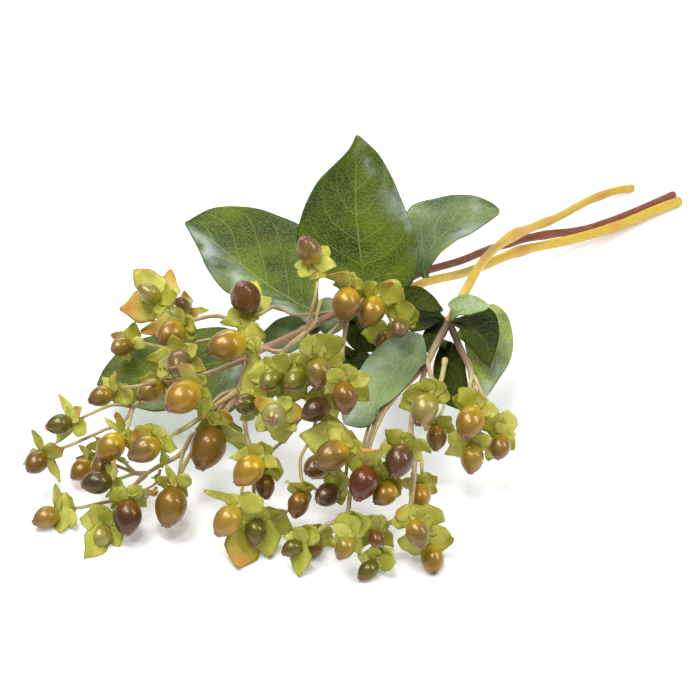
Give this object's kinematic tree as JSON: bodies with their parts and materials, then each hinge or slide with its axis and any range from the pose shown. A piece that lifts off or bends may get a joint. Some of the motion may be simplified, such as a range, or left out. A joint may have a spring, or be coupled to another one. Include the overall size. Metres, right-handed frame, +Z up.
{
  "type": "hypericum berry stem",
  "caption": "Cut hypericum lying as a gathered bunch: crossing stems, broad green leaves and loose clusters of glossy ripening berries, each in a leafy calyx.",
  "frame": {"origin": "middle of the bunch's box, at the surface that it lies on", "axes": "+X along the bunch from its berries to its cut ends, +Z up"},
  "size_m": [0.4859, 0.2402, 0.1257],
  "materials": {
    "red_bark": "smooth red-brown young bark, satin",
    "yellow_bark": "smooth yellow-orange young bark with green spots at the nodes, satin",
    "twig": "thin tan to yellow-green twig, satin",
    "leaf_green": "deep green upper leaf side with a pale vein net, waxy sheen",
    "leaf_dark": "dark shaded green leaf, waxy sheen",
    "leaf_back": "pale grey-green underside of a leaf, matt",
    "leaf_light": "light yellow-green young leaf or sepal, satin",
    "berry": "glossy pearly berry skin, ochre at the calyx to grey-brown at the tip"
  },
  "bodies": {
    "root": {"stem_red_brown": "red_bark", "stem_yellow_lower": "yellow_bark", "stem_yellow_upper": "yellow_bark", "branch_left_front": "twig", "branch_left_middle": "twig", "branch_left_back": "twig", "branch_centre": "twig", "branch_right_front": "twig", "branch_centre_low": "twig", "branch_front": "twig", "branch_right": "twig", "fruits_far_left": "berry", "fruits_left_middle": "berry", "fruits_left_back": "berry", "fruit_left_lone": "berry", "fruit_back_upper": "berry", "fruit_left_upper": "berry", "fruit_left_inner": "berry", "fruits_left_low": "berry", "fruit_left_large": "berry", "fruits_left_front": "berry", "fruit_left_broad": "berry", "fruits_crown": "berry", "fruits_middle_left": "berry", "fruits_middle_low": "berry", "fruits_low_left": "berry", "fruits_centre": "berry", "fruits_centre_front": "berry", "fruits_centre_low": "berry", "fruits_centre_upper": "berry", "fruits_low_middle": "berry", "fruit_low_right": "berry", "fruits_front_left": "berry", "fruits_front_right": "berry", "fruit_front_hidden": "berry", "fruits_front": "berry", "fruits_front_middle": "berry", "fruits_right_left": "berry", "fruits_right": "berry", "leaf_back_left": "leaf_green", "leaf_centre": "leaf_green", "leaf_back_right": "leaf_back", "leaf_lower_left": "leaf_green", "leaf_right_centre": "leaf_back", "leaf_small_left": "leaf_back", "leaf_dark_behind": "leaf_dark", "leaf_dark_lower": "leaf_dark", "leaf_gap_upper": "leaf_dark", "leaf_gap_lower": "leaf_dark", "leaf_over_stem": "leaf_light", "leaf_right_folded": "leaf_dark", "leaf_right_outer": "leaf_light", "leaf_right_low": "leaf_dark"}
  },
  "joints": []
}
